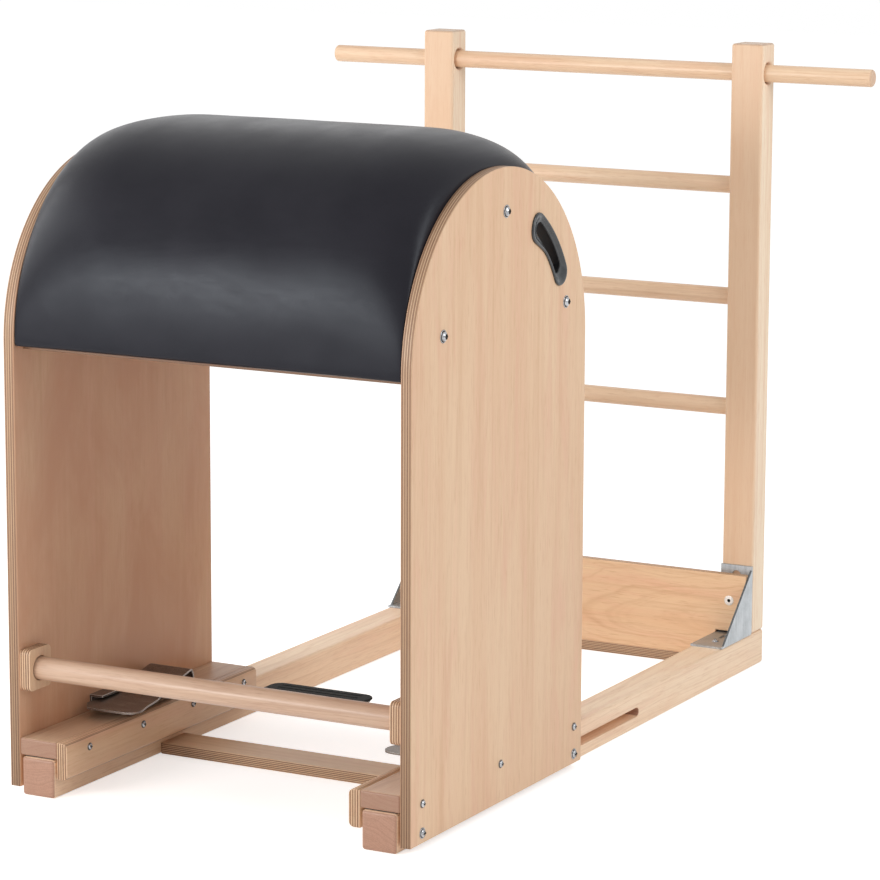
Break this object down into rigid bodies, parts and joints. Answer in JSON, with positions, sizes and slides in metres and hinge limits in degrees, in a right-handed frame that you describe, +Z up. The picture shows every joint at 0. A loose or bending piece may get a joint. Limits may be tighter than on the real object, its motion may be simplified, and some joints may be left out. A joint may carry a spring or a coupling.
{
  "type": "pilates ladder barrel",
  "caption": "Padded arched barrel between ply side panels that slides along a wooden base with a rung ladder, with a foot bar and a release pedal.",
  "frame": {"origin": "on the floor, at the middle of the outer box, between the rails", "axes": "+X across the machine to the right as seen from the barrel's end, +Y from the barrel to the ladder, +Z up"},
  "size_m": [1.007, 1.29, 1.055],
  "materials": {
    "panel_ply": "clear satin lacquer on maple-faced ply",
    "maple": "clear satin lacquer on solid maple",
    "cross_board_ply": "clear satin lacquer on ply with an arched grain",
    "whitewood": "planed and unfinished",
    "pad_vinyl": "grained vinyl with a soft sheen over foam",
    "zinc_steel": "bright zinc plating",
    "pedal_steel": "warm dark grey coating with bright cut edges",
    "chrome": "polished",
    "liner_plastic": "moulded, semi-gloss",
    "glide_nylon": "plain",
    "tread_rubber": "matt"
  },
  "bodies": {
    "base": {"left_base_rail": "maple", "right_base_rail": "maple", "left_upright": "maple", "right_upright": "maple", "left_corner_bracket": "zinc_steel", "right_corner_bracket": "zinc_steel", "front_crossbar": "panel_ply", "rear_crossbar": "panel_ply", "rear_cross_board": "cross_board_ply", "top_bar": "maple", "rung_1": "maple", "rung_2": "maple", "rung_3": "maple"},
    "barrel": {"left_side_panel": "panel_ply", "left_runner_block": "maple", "left_runner_glide": "glide_nylon", "left_guide_strip": "panel_ply", "left_foot_bar_block": "panel_ply", "left_handhold_liner": "liner_plastic", "left_former": "panel_ply", "left_pivot_bracket": "pedal_steel", "left_return_spring": "zinc_steel", "left_front_barrel_bolt": "chrome", "left_top_barrel_bolt": "chrome", "left_rear_barrel_bolt": "chrome", "left_front_guide_bolt": "chrome", "left_rear_guide_bolt": "chrome", "right_side_panel": "panel_ply", "right_runner_block": "maple", "right_runner_glide": "glide_nylon", "right_guide_strip": "panel_ply", "right_foot_bar_block": "panel_ply", "right_handhold_liner": "liner_plastic", "right_former": "panel_ply", "right_pivot_bracket": "pedal_steel", "right_return_spring": "zinc_steel", "right_front_barrel_bolt": "chrome", "right_top_barrel_bolt": "chrome", "right_rear_barrel_bolt": "chrome", "right_front_guide_bolt": "chrome", "right_rear_guide_bolt": "chrome", "foot_bar": "maple", "front_batten": "whitewood", "top_batten": "whitewood", "rear_batten": "whitewood", "front_sill": "panel_ply", "rear_sill": "panel_ply", "barrel_skin": "panel_ply", "barrel_pad": "pad_vinyl"},
    "pedal": {"pedal_shaft": "zinc_steel", "pedal_tread_plate": "pedal_steel", "pedal_tread": "tread_rubber", "left_brake_arm": "pedal_steel", "right_brake_arm": "pedal_steel", "left_brake_pad": "tread_rubber", "right_brake_pad": "tread_rubber"}
  },
  "joints": [
    {"name": "barrel_slide", "type": "slide", "parent": "base", "child": "barrel", "axis": [0, 1, 0], "range_m": [0, 0.27]},
    {"name": "release_pedal", "type": "hinge", "parent": "barrel", "child": "pedal", "pos_m": [0, -0.346, 0.103], "axis": [1, 0, 0], "range_deg": [0, 4], "stiffness_Nm_per_rad": 6, "springref_deg": -28.65}
  ]
}
